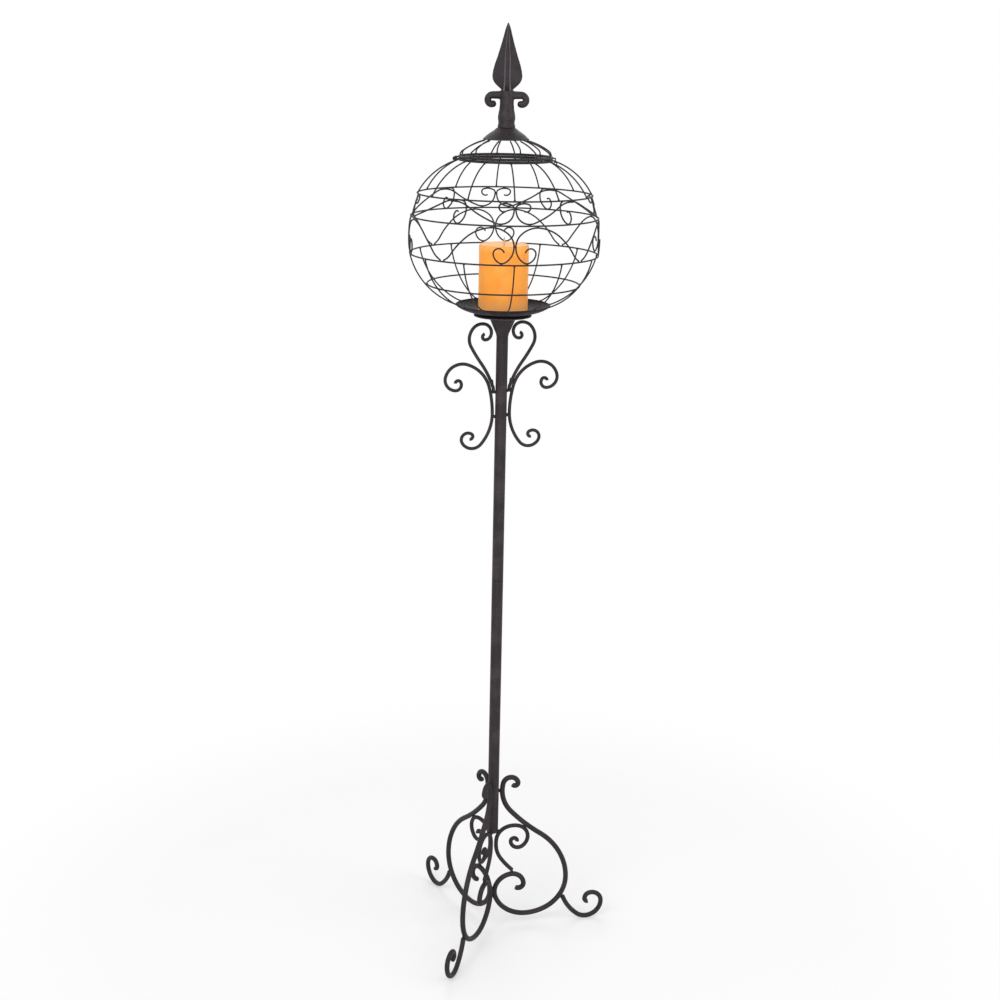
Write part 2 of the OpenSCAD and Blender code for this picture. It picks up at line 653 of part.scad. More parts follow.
// Cone with a short upright rim, hollow beneath
module cap() color(cast_iron) difference() {
    rotate_extrude($fn = round_fn) polygon([
        [0, cap_rim_z], [cap_r, cap_rim_z], [cap_r, cap_rim_z + cap_edge],
        [cap_r - 7, cap_rim_z + cap_h*0.48], [cap_seat_r + 3, cap_top_z - 1.6],
        [cap_seat_r, cap_top_z], [0, cap_top_z]
    ]);
    rotate_extrude($fn = round_fn) polygon([
        [0, cap_rim_z - 1], [cap_r - cap_wall, cap_rim_z - 1],
        [cap_r - cap_wall, cap_rim_z + 0.4], [cap_seat_r, cap_top_z - cap_crown],
        [0, cap_top_z - cap_crown]
    ]);
    cylinder(d = screw_d + 2*fit_gap, h = cap_top_z + 1, $fn = wire_fn);
}

// Nut inside the cone, on the finial's stud
nut_h = 5;
nut_z = cap_top_z - cap_crown - weld_gap - nut_h;

module finial_nut() color(cast_iron) translate([0, 0, nut_z]) difference() {
    cylinder(d = screw_d*2, h = nut_h, $fn = 6);
    translate([0, 0, -1]) cylinder(d = screw_d + 2*fit_gap, h = nut_h + 2, $fn = wire_fn);
}

// Blade outline as [share of its height, half its width as a share of the widest]
blade_outline = [[0, 0.36], [0.05, 0.58], [0.10, 0.84], [0.16, 0.97], [0.21, 1],
                 [0.28, 0.97], [0.38, 0.86], [0.51, 0.67], [0.67, 0.46], [0.79, 0.32],
                 [0.94, 0.15], [1, 0.03]];
neck_z = cap_top_z + stem_h;

// Spear blade: a loft of lozenge sections, thick at the ridge and thin at the edges
module blade() {
    n = len(blade_outline);
    points = [for (s = blade_outline)
        let (w = blade_w/2*s[1], t = blade_t/2*(0.3 + 0.7*s[1]), z = neck_z + blade_h*s[0])
        each [[w, 0, z], [0, t, z], [-w, 0, z], [0, -t, z]]];
    walls = [for (i = [0 : n - 2], k = [0 : 3])
        let (a = 4*i + k, b = 4*i + (k + 1) % 4)
        each [[a, b + 4, b], [a, a + 4, b + 4]]];
    polyhedron(points, concat(walls, [[0, 1, 2], [0, 2, 3],
        [4*n - 4, 4*n - 2, 4*n - 3], [4*n - 4, 4*n - 1, 4*n - 2]]));
}

// Stem outline as [share of its height, share of its foot's radius]
stem_outline = [[0, 1], [0.06, 1], [0.12, 0.94], [0.17, 0.93], [0.25, 0.99],
                [0.32, 0.98], [0.40, 0.92], [0.50, 0.84], [0.64, 0.79], [0.86, 0.82],
                [1, 0.77]];
curl_z = neck_z - 6.1;                         // height of the side curls' arms
curl_in = 7;                                   // where the arms leave the stem
spread = 21.2;                                 // where the arms start to curl down
curl_bends = [[-6.8, 88], [-5.6, 110]];

module finial() color(cast_iron) rotate([0, 0, finial_turn]) {
    blade();
    // raised rib down the middle of each face
    translate([0, 0, neck_z - 1]) cylinder(r1 = 4.6, r2 = 1, h = blade_h - 4,
                                           $fn = wire_fn);
    // turned stem
    rotate_extrude($fn = round_fn) polygon(concat([[0, cap_top_z + weld_gap]],
        [for (s = stem_outline) [stem_r*s[1], cap_top_z + weld_gap + stem_h*s[0]]],
        [[0, neck_z + 1]]));
    for (side = [0, 180]) rotate([0, 0, side]) {
        translate([curl_in, 0, curl_z]) rotate([0, 90, 0])
            cylinder(d = curl_d, h = spread - curl_in - bend_trim, $fn = wire_fn);
        bent_run([spread, curl_z, 0], curl_bends, curl_d);
    }
    // stud through the cap and its nut
    translate([0, 0, nut_z - 1])
        cylinder(d = screw_d, h = cap_top_z + 3 - nut_z, $fn = wire_fn);
}

// ---- candle ----------------------------------------------------------------------

candle_z = pan_floor_z + rest_gap;
wick_set = 12;                                 // depth of the wick in the wax

module candle() color(wax) difference() {
    rotate_extrude($fn = round_fn) {
        translate([0, candle_z])
            square([candle_d/2 - candle_edge, candle_h]);
        translate([0, candle_z + candle_edge])
            square([candle_d/2, candle_h - 2*candle_edge]);
        for (z = [candle_z + candle_edge, candle_z + candle_h - candle_edge])
            translate([candle_d/2 - candle_edge, z]) circle(r = candle_edge,
                                                            $fn = 32);
    }
    translate([0, 0, candle_z + candle_h - wick_set])
        cylinder(d = wick_d + 2*fit_gap, h = wick_set + 1, $fn = wire_fn);
}

module wick() color(cotton) translate([0, 0, candle_z + candle_h - wick_set])
    cylinder(d = wick_d, h = wick_set + wick_h, $fn = wire_fn);

// ---- nodes -----------------------------------------------------------------------

leg_rod(leg_turns[0]);  // leg_rod_right
leg_rod(leg_turns[1]);  // leg_rod_back
leg_rod(leg_turns[2]);  // leg_rod_front
foot_scroll(leg_turns[0]);  // foot_scroll_right
foot_scroll(leg_turns[1]);  // foot_scroll_back
foot_scroll(leg_turns[2]);  // foot_scroll_front
inner_scroll(leg_turns[0]);  // inner_scroll_right
inner_scroll(leg_turns[1]);  // inner_scroll_back
inner_scroll(leg_turns[2]);  // inner_scroll_front
leg_pegs();
lower_pole();
joint_plug();
joint_stud();
joint_socket();
upper_pole();
top_plug();
bracket_s(side_turns[0], 0);  // bracket_s_right
bracket_s(side_turns[1], left_drop);  // bracket_s_left
bracket_c(side_turns[0], 0);  // bracket_c_right
bracket_c(side_turns[1], left_drop);  // bracket_c_left
bracket_pegs();
cup();
drip_plate();
pan();
pan_screw();
mouth_ring();
crown_hoop();
shoulder_hoop();
waist_hoop();
low_hoop();
upper_ribs();
lower_ribs();
lower_scrolls();
upper_scrolls();
hook_scrolls();
hinge_knuckle();
hinge_pin();
lid_ring();
lid_ribs();
lid_straps();
lift_loop();
cap();
finial();
finial_nut();
candle();
wick();
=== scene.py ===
# Looks of the torchere candle stand: wrought-iron rods on scrolled legs, a tube pole,
# a wire globe cage with a hinged lid and cast spear finial, and one orange pillar candle.
# Metres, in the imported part's own frame: +Z up, +X along the right-hand leg. Sizes are
# written in millimetres and angles in degrees, and MM turns the sizes into metres.
import math

import bpy
from mathutils import Matrix, Vector


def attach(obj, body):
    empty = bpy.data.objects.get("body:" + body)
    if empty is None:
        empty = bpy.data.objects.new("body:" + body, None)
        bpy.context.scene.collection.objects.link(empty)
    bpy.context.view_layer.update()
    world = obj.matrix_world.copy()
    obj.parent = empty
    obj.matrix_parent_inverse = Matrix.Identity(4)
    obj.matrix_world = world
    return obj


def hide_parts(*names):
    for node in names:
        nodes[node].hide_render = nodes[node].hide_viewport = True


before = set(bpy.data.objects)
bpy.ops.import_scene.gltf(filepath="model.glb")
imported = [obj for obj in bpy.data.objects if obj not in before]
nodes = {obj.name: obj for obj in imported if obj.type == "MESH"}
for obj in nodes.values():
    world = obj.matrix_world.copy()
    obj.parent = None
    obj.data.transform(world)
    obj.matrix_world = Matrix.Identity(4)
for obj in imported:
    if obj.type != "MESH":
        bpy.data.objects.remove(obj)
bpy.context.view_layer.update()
scene = bpy.context.scene
bpy.ops.object.select_all(action="DESELECT")


# ---- Wrought iron ----------------------------------------------------------------
# Round mild-steel bar and wire, forged, welded and then sprayed satin black-brown. The
# paint is uneven: broad brown and violet clouds, fine specks of spray and a few rubs.
MM = 0.001


def node_group(name, inputs, outputs):
    group = bpy.data.node_groups.new(name, "ShaderNodeTree")
    for label, kind, value in inputs:
        socket = group.interface.new_socket(label, in_out="INPUT", socket_type=kind)
        socket.default_value = value
    for label, kind in outputs:
        group.interface.new_socket(label, in_out="OUTPUT", socket_type=kind)
    return group, group.nodes.new("NodeGroupInput"), group.nodes.new("NodeGroupOutput")


def add_node(tree, kind, **settings):
    made = tree.nodes.new(kind)
    for name, value in settings.items():
        setattr(made, name, value)
    return made


def feed(tree, socket, value):
    """Join a socket to another node's output, or set it to a plain value."""
    if isinstance(value, bpy.types.NodeSocket):
        tree.links.new(value, socket)
    else:
        socket.default_value = value


def noise(tree, place, scale, detail=3.0, roughness=0.55):
    made = add_node(tree, "ShaderNodeTexNoise")
    feed(tree, made.inputs["Vector"], place)
    feed(tree, made.inputs["Scale"], scale)
    made.inputs["Detail"].default_value = detail
    made.inputs["Roughness"].default_value = roughness
    return made.outputs["Fac"]


def band(tree, value, low, high):
    """0 below low, 1 above high, and a soft step between."""
    made = add_node(tree, "ShaderNodeMapRange", interpolation_type="SMOOTHSTEP")
    made.inputs["From Min"].default_value = low
    made.inputs["From Max"].default_value = high
    tree.links.new(value, made.inputs["Value"])
    return made.outputs["Result"]


def mix_colour(tree, factor, a, b):
    made = add_node(tree, "ShaderNodeMix", data_type="RGBA")
    feed(tree, made.inputs[0], factor)
    feed(tree, made.inputs[6], a)
    feed(tree, made.inputs[7], b)
    return made.outputs[2]


def maths(tree, operation, a, b):
    made = add_node(tree, "ShaderNodeMath", operation=operation)
    feed(tree, made.inputs[0], a)
    feed(tree, made.inputs[1], b)
    return made.outputs[0]


def make_painted_metal():
    """Sprayed paint on iron: clouds of a second colour, streaked rubs and fine specks."""
    group, given, out = node_group(
        "painted metal",
        [("Paint", "NodeSocketColor", (0.03, 0.03, 0.03, 1)),
         ("Cloud", "NodeSocketColor", (0.04, 0.03, 0.03, 1)),
         ("Bare", "NodeSocketColor", (0.12, 0.10, 0.09, 1)),
         ("Cloud Scale", "NodeSocketFloat", 30.0),
         ("Grain Scale", "NodeSocketFloat", 900.0),
         ("Roughness", "NodeSocketFloat", 0.5),
         ("Rubs", "NodeSocketFloat", 0.3)],
        [("Color", "NodeSocketColor"), ("Roughness", "NodeSocketFloat"),
         ("Height", "NodeSocketFloat")])
    place = add_node(group, "ShaderNodeTexCoord").outputs["Object"]
    cloud = noise(group, place, given.outputs["Cloud Scale"], 4.0)
    specks = noise(group, place, given.outputs["Grain Scale"], 2.0, 0.7)
    finer = maths(group, "MULTIPLY", given.outputs["Cloud Scale"], 6.0)
    streaks = noise(group, place, finer, 6.0, 0.7)
    colour = mix_colour(group, band(group, cloud, 0.42, 0.66),
                        given.outputs["Paint"], given.outputs["Cloud"])
    rub = maths(group, "MULTIPLY", band(group, streaks, 0.58, 0.76), given.outputs["Rubs"])
    colour = mix_colour(group, rub, colour, given.outputs["Bare"])
    dots = maths(group, "MULTIPLY", band(group, specks, 0.60, 0.78), 0.4)
    colour = mix_colour(group, dots, colour, given.outputs["Bare"])
    group.links.new(colour, out.inputs["Color"])
    sheen = maths(group, "MULTIPLY", maths(group, "SUBTRACT", streaks, 0.5), 0.35)
    group.links.new(maths(group, "ADD", given.outputs["Roughness"], sheen),
                    out.inputs["Roughness"])
    height = maths(group, "ADD", maths(group, "MULTIPLY", streaks, 0.6),
                   maths(group, "MULTIPLY", specks, 0.4))
    group.links.new(height, out.inputs["Height"])
    return group


painted_metal = make_painted_metal()


def metal_finish(name, paint, cloud, bare, cloud_scale, grain_scale, roughness, rubs,
                 bump_height, specular=0.4):
    material = bpy.data.materials.new(name)
    material.use_nodes = True
    tree = material.node_tree
    shader = tree.nodes["Principled BSDF"]
    surface = add_node(tree, "ShaderNodeGroup", node_tree=painted_metal)
    for label, value in (("Paint", (*paint, 1)), ("Cloud", (*cloud, 1)), ("Bare", (*bare, 1)),
                         ("Cloud Scale", cloud_scale), ("Grain Scale", grain_scale),
                         ("Roughness", roughness), ("Rubs", rubs)):
        surface.inputs[label].default_value = value
    tree.links.new(surface.outputs["Color"], shader.inputs["Base Color"])
    tree.links.new(surface.outputs["Roughness"], shader.inputs["Roughness"])
    bump = add_node(tree, "ShaderNodeBump")
    bump.inputs["Strength"].default_value = 0.6
    bump.inputs["Distance"].default_value = bump_height
    tree.links.new(surface.outputs["Height"], bump.inputs["Height"])
    tree.links.new(bump.outputs["Normal"], shader.inputs["Normal"])
    shader.inputs["Specular IOR Level"].default_value = specular
    return material


wrought_iron = metal_finish(
    "wrought iron", paint=(0.015, 0.012, 0.014), cloud=(0.026, 0.019, 0.021),
    bare=(0.090, 0.072, 0.068), cloud_scale=26.0, grain_scale=1400.0, roughness=0.56,
    rubs=0.35, bump_height=0.30 * MM, specular=0.26)


def dress(material, *names):
    """Give CAD nodes a finish."""
    for name in names:
        slots = nodes[name].data.materials
        slots.clear()
        slots.append(material)


# ---- Legs ------------------------------------------------------------------------
# Three legs round the pole, each of a main rod bent to a heart-like scroll, a thinner
# scroll inside it and a curled foot rod. They are welded where they touch, and short
# pegs tie their necks to the pole.
LEG_TURNS = {"right": 0.0, "back": 115.5, "front": 238.0}
for side in LEG_TURNS:
    dress(wrought_iron, f"leg_rod_{side}", f"foot_scroll_{side}", f"inner_scroll_{side}")
dress(wrought_iron, "leg_pegs")


def spot(reach, height, turn, along=0.0):
    """The place at a reach from the pole and a height, turned about the pole."""
    return Matrix.Rotation(math.radians(turn), 4, "Z") @ Vector((reach, along, height)) * MM


def own(piece, name, material, body):
    """Name a finished piece, give it its finish and let it ride on its body."""
    piece.name = piece.data.name = name
    piece.data.materials.clear()
    piece.data.materials.append(material)
    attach(piece, body)
    return piece


def join(pieces):
    bpy.ops.object.select_all(action="DESELECT")
    for piece in pieces:
        piece.select_set(True)
    bpy.context.view_layer.objects.active = pieces[0]
    if len(pieces) > 1:
        bpy.ops.object.join()
    joined = bpy.context.view_layer.objects.active
    joined.select_set(False)
    return joined


def weld_beads(name, places, size, body, stretch=(1, 1, 1), fineness=3):
    """Lumps of weld: one is modelled, then copied to each [spot, turn] and joined."""
    bpy.ops.mesh.primitive_ico_sphere_add(subdivisions=fineness, radius=size * MM)
    lump = bpy.context.object
    bpy.ops.object.mode_set(mode="EDIT")
    bpy.ops.mesh.select_all(action="SELECT")
    bpy.ops.transform.resize(value=stretch, center_override=(0, 0, 0))
    bpy.ops.object.mode_set(mode="OBJECT")
    ripple = bpy.data.textures.new(f"{name} ripple", "CLOUDS")
    ripple.noise_scale = size * 0.9 * MM
    swell = lump.modifiers.new("ripple", "DISPLACE")
    swell.texture = ripple
    swell.strength = size * 0.4 * MM
    bpy.ops.object.modifier_apply(modifier=swell.name)
    bpy.ops.object.shade_smooth()
    beads = []
    for place, turn in places:
        bead = lump.copy()
        bead.data = lump.data.copy()
        scene.collection.objects.link(bead)
        bead.data.transform(Matrix.Translation(place)
                            @ Matrix.Rotation(math.radians(turn), 4, "Z"))
        beads.append(bead)
    bpy.data.objects.remove(lump)
    return own(join(beads), name, wrought_iron, body)


# Where the rods touch: reach from the pole's axis and height, in each leg's plane.
FOOT_JOINT = (123.2, 46.4)
INNER_JOINTS = ((55.7, 183.9), (34.6, 101.2))
NECK_PEG = (10.0, 253.7)
POLE_SEAT = (10.2, 178.4)
HUB_REACH, HUB_Z = 2.6, 64.7


def on_each_leg(*joints):
    return [(spot(reach, height, turn), turn) for turn in LEG_TURNS.values()
            for reach, height in joints]


weld_beads("foot_welds", on_each_leg(FOOT_JOINT), 3.6, "stand", stretch=(0.8, 0.9, 1.5))
weld_beads("scroll_welds", on_each_leg(*INNER_JOINTS), 2.5, "stand", stretch=(1, 1.1, 1.3))
weld_beads("neck_welds", on_each_leg(NECK_PEG) + on_each_leg(POLE_SEAT), 2.6, "stand",
           stretch=(0.8, 1.5, 1.1))
turns = sorted(LEG_TURNS.values()) + [360.0]
weld_beads("hub_welds",
           [(spot(HUB_REACH, HUB_Z, (a + b) / 2), (a + b) / 2)
            for a, b in zip(turns, turns[1:])],
           2.2, "stand", stretch=(1, 0.8, 2.0))


# ---- Pole ------------------------------------------------------------------------
# Two lengths of steel tube joined end to end over a hidden stud, so that the stand packs
# flat. The spray is thinner here and lets a mottled brown through.
tube_paint = metal_finish(
    "tube paint", paint=(0.023, 0.018, 0.021), cloud=(0.042, 0.031, 0.034),
    bare=(0.110, 0.088, 0.083), cloud_scale=34.0, grain_scale=1100.0, roughness=0.54,
    rubs=0.40, bump_height=0.22 * MM, specular=0.20)


def turned(profile, sides=128):
    """Spin a closed outline of [radius, height]: a ring is pulled along the outline."""
    radius, height = profile[0]
    bpy.ops.mesh.primitive_circle_add(vertices=sides, radius=radius * MM)
    bpy.ops.object.mode_set(mode="EDIT")
    bpy.ops.mesh.select_all(action="SELECT")
    bpy.ops.transform.translate(value=(0, 0, height * MM))
    for (r0, z0), (r1, z1) in zip(profile, profile[1:] + profile[:1]):
        bpy.ops.mesh.extrude_edges_move(
            TRANSFORM_OT_translate={"value": (0, 0, (z1 - z0) * MM)})
        bpy.ops.transform.resize(value=(r1 / r0, r1 / r0, 1),
                                 center_override=(0, 0, z1 * MM))
    bpy.ops.mesh.select_all(action="SELECT")
    bpy.ops.mesh.remove_doubles(threshold=0.01 * MM)
    bpy.ops.mesh.normals_make_consistent(inside=False)
    bpy.ops.object.mode_set(mode="OBJECT")
    return bpy.context.object


def finish_edges(piece, width, smooth=40, wobble=0.0):
    """Round a piece's sharp edges, let its surface waver a little, and smooth it."""
    bpy.ops.object.select_all(action="DESELECT")
    piece.select_set(True)
    bpy.context.view_layer.objects.active = piece
    if width:
        edge = piece.modifiers.new("edge", "BEVEL")
        edge.width = width * MM
        edge.segments = 3
        edge.limit_method = "ANGLE"
        edge.angle_limit = math.radians(28)
        bpy.ops.object.modifier_apply(modifier=edge.name)
    if wobble:
        waver = bpy.data.textures.new(f"{piece.name} waver", "CLOUDS")
        waver.noise_scale = 18 * MM
        bend = piece.modifiers.new("waver", "DISPLACE")
        bend.texture = waver
        bend.strength = wobble * MM
        bpy.ops.object.modifier_apply(modifier=bend.name)
    bpy.ops.object.shade_smooth_by_angle(angle=math.radians(smooth))
    piece.select_set(False)
    return piece


def rolled_rim(centre_r, centre_z, size, start, stop, steps=8):
    """Points of a rolled edge, from one angle round to another."""
    points = []
    for i in range(steps + 1):
        a = math.radians(start + (stop - start) * i / steps)
        points.append((centre_r + size * math.cos(a), centre_z + size * math.sin(a)))
    return points


POLE_R = 9.1
BORE_R = 7.6
POLE_FOOT = 178.23
JOINT_Z = 626.6
POLE_TOP = 1040.0
for name, low, high, node in (("lower_tube", POLE_FOOT, JOINT_Z - 0.1, "lower_pole"),
                              ("upper_tube", JOINT_Z, POLE_TOP, "upper_pole")):
    tube = turned([(BORE_R, low)] + rolled_rim(POLE_R - 0.9, low + 0.9, 0.9, 270, 360, steps=5)
                  + rolled_rim(POLE_R - 0.9, high - 0.9, 0.9, 0, 90, steps=5)
                  + [(BORE_R, high)], sides=96)
    finish_edges(tube, 0.0)
    own(tube, name, tube_paint, "stand")
    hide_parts(node)
plain_steel = metal_finish(
    "plain steel", paint=(0.16, 0.15, 0.15), cloud=(0.22, 0.21, 0.20),
    bare=(0.40, 0.37, 0.34), cloud_scale=60.0, grain_scale=1800.0, roughness=0.42,
    rubs=0.5, bump_height=0.10 * MM, specular=0.6)
dress(plain_steel, "joint_plug", "joint_stud", "joint_socket", "top_plug")


# ---- Brackets --------------------------------------------------------------------
# On either side of the pole a big C scroll carries a smaller S scroll above it. Two pegs
# hold each C off the pole, and the S is welded to the C and rises beside the cup.
LEFT_DROP = 2.3
UPPER_PEG_Z = 938.0
LOWER_PEG_Z = 899.0
PEG_JOINTS = ((10.0, UPPER_PEG_Z), (10.0, LOWER_PEG_Z), (14.2, UPPER_PEG_Z),
              (11.6, LOWER_PEG_Z))
S_JOINTS = ((15.0, 952.6), (12.6, 943.4))
dress(wrought_iron, "bracket_s_right", "bracket_s_left", "bracket_c_right",
      "bracket_c_left", "bracket_pegs")
pegs = []
meets = []
for turn, drop in ((0.0, 0.0), (180.0, LEFT_DROP)):
    pegs += [(spot(reach, height - drop, turn), turn) for reach, height in PEG_JOINTS]
    meets += [(spot(reach, height - drop, turn), turn) for reach, height in S_JOINTS]
weld_beads("peg_welds", pegs, 2.3, "stand", stretch=(0.9, 1.2, 1.2))
weld_beads("scroll_meets", meets, 2.9, "stand", stretch=(0.9, 1.0, 2.0))


# ---- Cup -------------------------------------------------------------------------
# An iron casting like a small trumpet. It slips over the pole's top and flares out under
# the drip plate.
cast_iron = metal_finish(
    "painted casting", paint=(0.017, 0.013, 0.016), cloud=(0.030, 0.022, 0.025),
    bare=(0.130, 0.104, 0.098), cloud_scale=42.0, grain_scale=800.0, roughness=0.46,
    rubs=0.50, bump_height=0.45 * MM, specular=0.26)
dress(cast_iron, "cup")
dress(plain_steel, "pan_screw", "finial_nut")


# ---- Drip plate and pan ----------------------------------------------------------
# Two dishes spun from sheet iron. The small one slopes down like a saucer, the big one
# stands on it and curves up round the candle. Both rims are rolled for stiffness.
sheet_iron = metal_finish(
    "painted sheet", paint=(0.014, 0.011, 0.014), cloud=(0.026, 0.019, 0.023),
    bare=(0.080, 0.062, 0.060), cloud_scale=30.0, grain_scale=1500.0, roughness=0.58,
    rubs=0.30, bump_height=0.20 * MM, specular=0.10)


SHEET = 1.5
FLOOR_Z = 1062.7                      # top of the pan's flat floor
SADDLE_Z = FLOOR_Z - SHEET - 0.1      # top of the drip plate's flat
PAN_R = 72.0
drip_plate = turned(
    [(13.7, SADDLE_Z - SHEET), (26.0, SADDLE_Z - SHEET), (28.5, SADDLE_Z - SHEET - 0.5),
     (42.0, SADDLE_Z - SHEET - 4.0)]
    + rolled_rim(43.7, SADDLE_Z - 5.15, 0.98, 235, 450)
    + [(42.0, SADDLE_Z - 3.6), (28.0, SADDLE_Z - 0.2), (26.0, SADDLE_Z), (13.7, SADDLE_Z)])
finish_edges(drip_plate, 0.0, wobble=0.35)
# The saucer gets a paler, violet copy of the sheet paint: painted light that offsets the pan's
# shade on it.
saucer_painted_light = metal_finish(
    "saucer with painted light", paint=(0.040, 0.031, 0.042), cloud=(0.062, 0.046, 0.060),
    bare=(0.130, 0.105, 0.120), cloud_scale=40.0, grain_scale=1500.0, roughness=0.50,
    rubs=0.40, bump_height=0.20 * MM, specular=0.35)
own(drip_plate, "drip_saucer", saucer_painted_light, "stand")
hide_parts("drip_plate")

PAN_RISE = 9.8
PAN_FLAT_R = 41.5
PAN_RUN = PAN_R - PAN_FLAT_R
WALL_R = (PAN_RUN ** 2 + PAN_RISE ** 2) / (2 * PAN_RISE)
WALL_TURN = math.degrees(math.asin(PAN_RUN / WALL_R))


def pan_wall(radius, steps=14):
    angles = [math.radians(WALL_TURN * i / steps) for i in range(1, steps + 1)]
    return [(PAN_FLAT_R + radius * math.sin(a), FLOOR_Z + WALL_R - radius * math.cos(a))
            for a in angles]


WELL_Z = FLOOR_Z - 4.2
outer = pan_wall(WALL_R + SHEET)[:-1]
inner = pan_wall(WALL_R)[:-1]
pan = turned(
    [(3.1, WELL_Z - SHEET), (13.5, WELL_Z - SHEET), (13.5, FLOOR_Z - SHEET),
     (PAN_FLAT_R, FLOOR_Z - SHEET)] + outer
    + rolled_rim(71.4, FLOOR_Z + PAN_RISE - 0.4, 1.15, -60, 150)
    + inner[::-1]
    + [(PAN_FLAT_R, FLOOR_Z), (13.0, FLOOR_Z), (12.0, FLOOR_Z - 1.0), (12.0, WELL_Z),
       (3.1, WELL_Z)])
finish_edges(pan, 0.0, wobble=0.35)
own(pan, "candle_pan", sheet_iron, "stand")
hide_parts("pan")


# ---- Cage hoops and ribs ---------------------------------------------------------
# Rings of wire stacked into a globe, with upright wires bowed between them, all spot
# welded. A heavier ring round the mouth carries the hinge.
dress(wrought_iron, "crown_hoop", "shoulder_hoop", "waist_hoop", "low_hoop",
      "upper_ribs", "lower_ribs")
CAGE_TURN = -5.0
RIBS = 12
MOUTH = Vector((69.3, 1290.0))
CROWN = Vector((131.9, 1239.5))
WAIST = Vector((143.2, 1150.3))
PAN_RIM = Vector((72.8, 1072.7))
SHOULDER_Z = 1206.1
LOW_Z = 1103.9
RING_WIRE_R = 2.0
RING_SHIFT = 0.3              # how far each ring is set away from the other


def heavy_ring(name, height, node, body):
    """One of the mouth's two thick rings, of painted round bar."""
    ring = turned(rolled_rim(MOUTH.x, height, RING_WIRE_R, 0, 345, steps=23), sides=144)
    finish_edges(ring, 0.0, smooth=60)
    own(ring, name, wrought_iron, body)
    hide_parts(node)


heavy_ring("cage_mouth", MOUTH.y - RING_SHIFT, "mouth_ring", "stand")


def bowed(a, b, bulge):
    """Centre [r, z] and radius of the bow from a up to b."""
    run = b - a
    radius = (run.length_squared / 4 + bulge ** 2) / (2 * bulge)
    out = Vector((run.y, -run.x)).normalized()
    return (a + b) / 2 - out * (radius - bulge), radius


def bow_at(bow, height):
    centre, radius = bow
    return centre.x + math.sqrt(radius ** 2 - (height - centre.y) ** 2)


upper_bow = bowed(CROWN, MOUTH, 8.2)
belly_bow = bowed(WAIST, CROWN, 5.9)
lower_bow = bowed(PAN_RIM, WAIST, 13.7)
crown_spots, waist_spots, low_spots, rim_spots = [], [], [], []
for i in range(RIBS):
    turn = CAGE_TURN + i * 360 / RIBS
    crown_spots += [(spot(bow_at(upper_bow, CROWN.y + 1.6), CROWN.y + 1.6, turn), turn),
                    (spot(bow_at(upper_bow, MOUTH.y - 2.0), MOUTH.y - 2.0, turn), turn)]
    waist_spots.append((spot(bow_at(lower_bow, WAIST.y - 1.7) - 0.5, WAIST.y - 1.7, turn), turn))
    low_spots.append((spot(bow_at(lower_bow, LOW_Z) - 1.2, LOW_Z, turn), turn))
    rim_spots.append((spot(73.0, 1073.0, turn), turn))
weld_beads("upper_rib_welds", crown_spots, 1.45, "stand", stretch=(1, 1.15, 1), fineness=2)
weld_beads("waist_welds", waist_spots, 1.45, "stand", stretch=(1, 1.15, 1), fineness=2)
weld_beads("low_hoop_welds", low_spots, 1.35, "stand", stretch=(1.2, 1, 1.1), fineness=2)
weld_beads("pan_rim_welds", rim_spots, 1.6, "stand", stretch=(1.1, 1.3, 0.9), fineness=2)


# ---- Scroll wires on the globe ---------------------------------------------------
# Thin wire curled on a jig into mirrored pairs: four big ones between waist and shoulder,
# and above them two plain and two hooked pairs. Each touch is a spot weld.
WIRE = 2.4
WRAP_R = 141.5
PAIR_GAP = WIRE / 2 + 0.1
LAP = 2.5


def bend_places(x, y, heading, run, step=2.2):
    """Places along a wire that starts at x, y and is bent round arcs [radius, degrees]."""
    places = [(x, y)]
    for radius, turn in run:
        h = math.radians(heading)
        cx, cy = x - radius * math.sin(h), y + radius * math.cos(h)
        count = max(math.ceil(math.radians(turn) * abs(radius) / step), math.ceil(turn / 14))
        for k in range(1, count + 1):
            h = math.radians(heading + math.copysign(turn * k / count, radius))
            places.append((cx + radius * math.sin(h), cy - radius * math.cos(h)))
        heading += math.copysign(turn, radius)
        x, y = places[-1]
    return places


def both_ways(height, down, up):
    lower = bend_places(PAIR_GAP, height, 270, down)
    return lower[::-1] + bend_places(PAIR_GAP, height, 90, up)[1:]


def on_globe(flat, base, depth, turn, side):
    places = []
    for along, rise in flat:
        reach = bow_at(belly_bow, base + rise) - depth
        places.append(spot(reach, base + rise, turn + side * math.degrees(along / WRAP_R)))
    return places


def round_wires(wires, width, sides=5, blunt=0.35, radii=None):
    """Round rods along lists of places, with slightly rounded ends, as one mesh."""
    bpy.ops.curve.primitive_nurbs_path_add()
    rod = bpy.context.object
    rod.data.splines.clear()
    rod.data.dimensions = "3D"
    rod.data.bevel_depth = width / 2 * MM
    rod.data.bevel_resolution = sides
    rod.data.use_fill_caps = True
    for places in wires:
        places = [Vector(p) for p in places]
        head = (places[0] - places[1]).normalized() * blunt * width * MM
        tail = (places[-1] - places[-2]).normalized() * blunt * width * MM
        thick = radii or [1.0] * len(places)
        points = [places[0] + head, places[0] + head * 0.6] + places \
            + [places[-1] + tail * 0.6, places[-1] + tail]
        thick = [0.55 * thick[0], 0.86 * thick[0]] + list(thick) \
            + [0.86 * thick[-1], 0.55 * thick[-1]]
        spline = rod.data.splines.new("POLY")
        spline.points.add(len(points) - 1)
        for point, place, size in zip(spline.points, points, thick):
            point.co = (*place, 1)
            point.radius = size
    bpy.ops.object.convert(target="MESH")
    made = bpy.context.object
    bpy.ops.object.mode_set(mode="EDIT")
    bpy.ops.mesh.select_all(action="SELECT")
    bpy.ops.mesh.remove_doubles(threshold=0.005 * MM)
    bpy.ops.mesh.normals_make_consistent(inside=False)
    bpy.ops.object.mode_set(mode="OBJECT")
    bpy.ops.object.shade_smooth_by_angle(angle=math.radians(50))
    made.select_set(False)
    return made


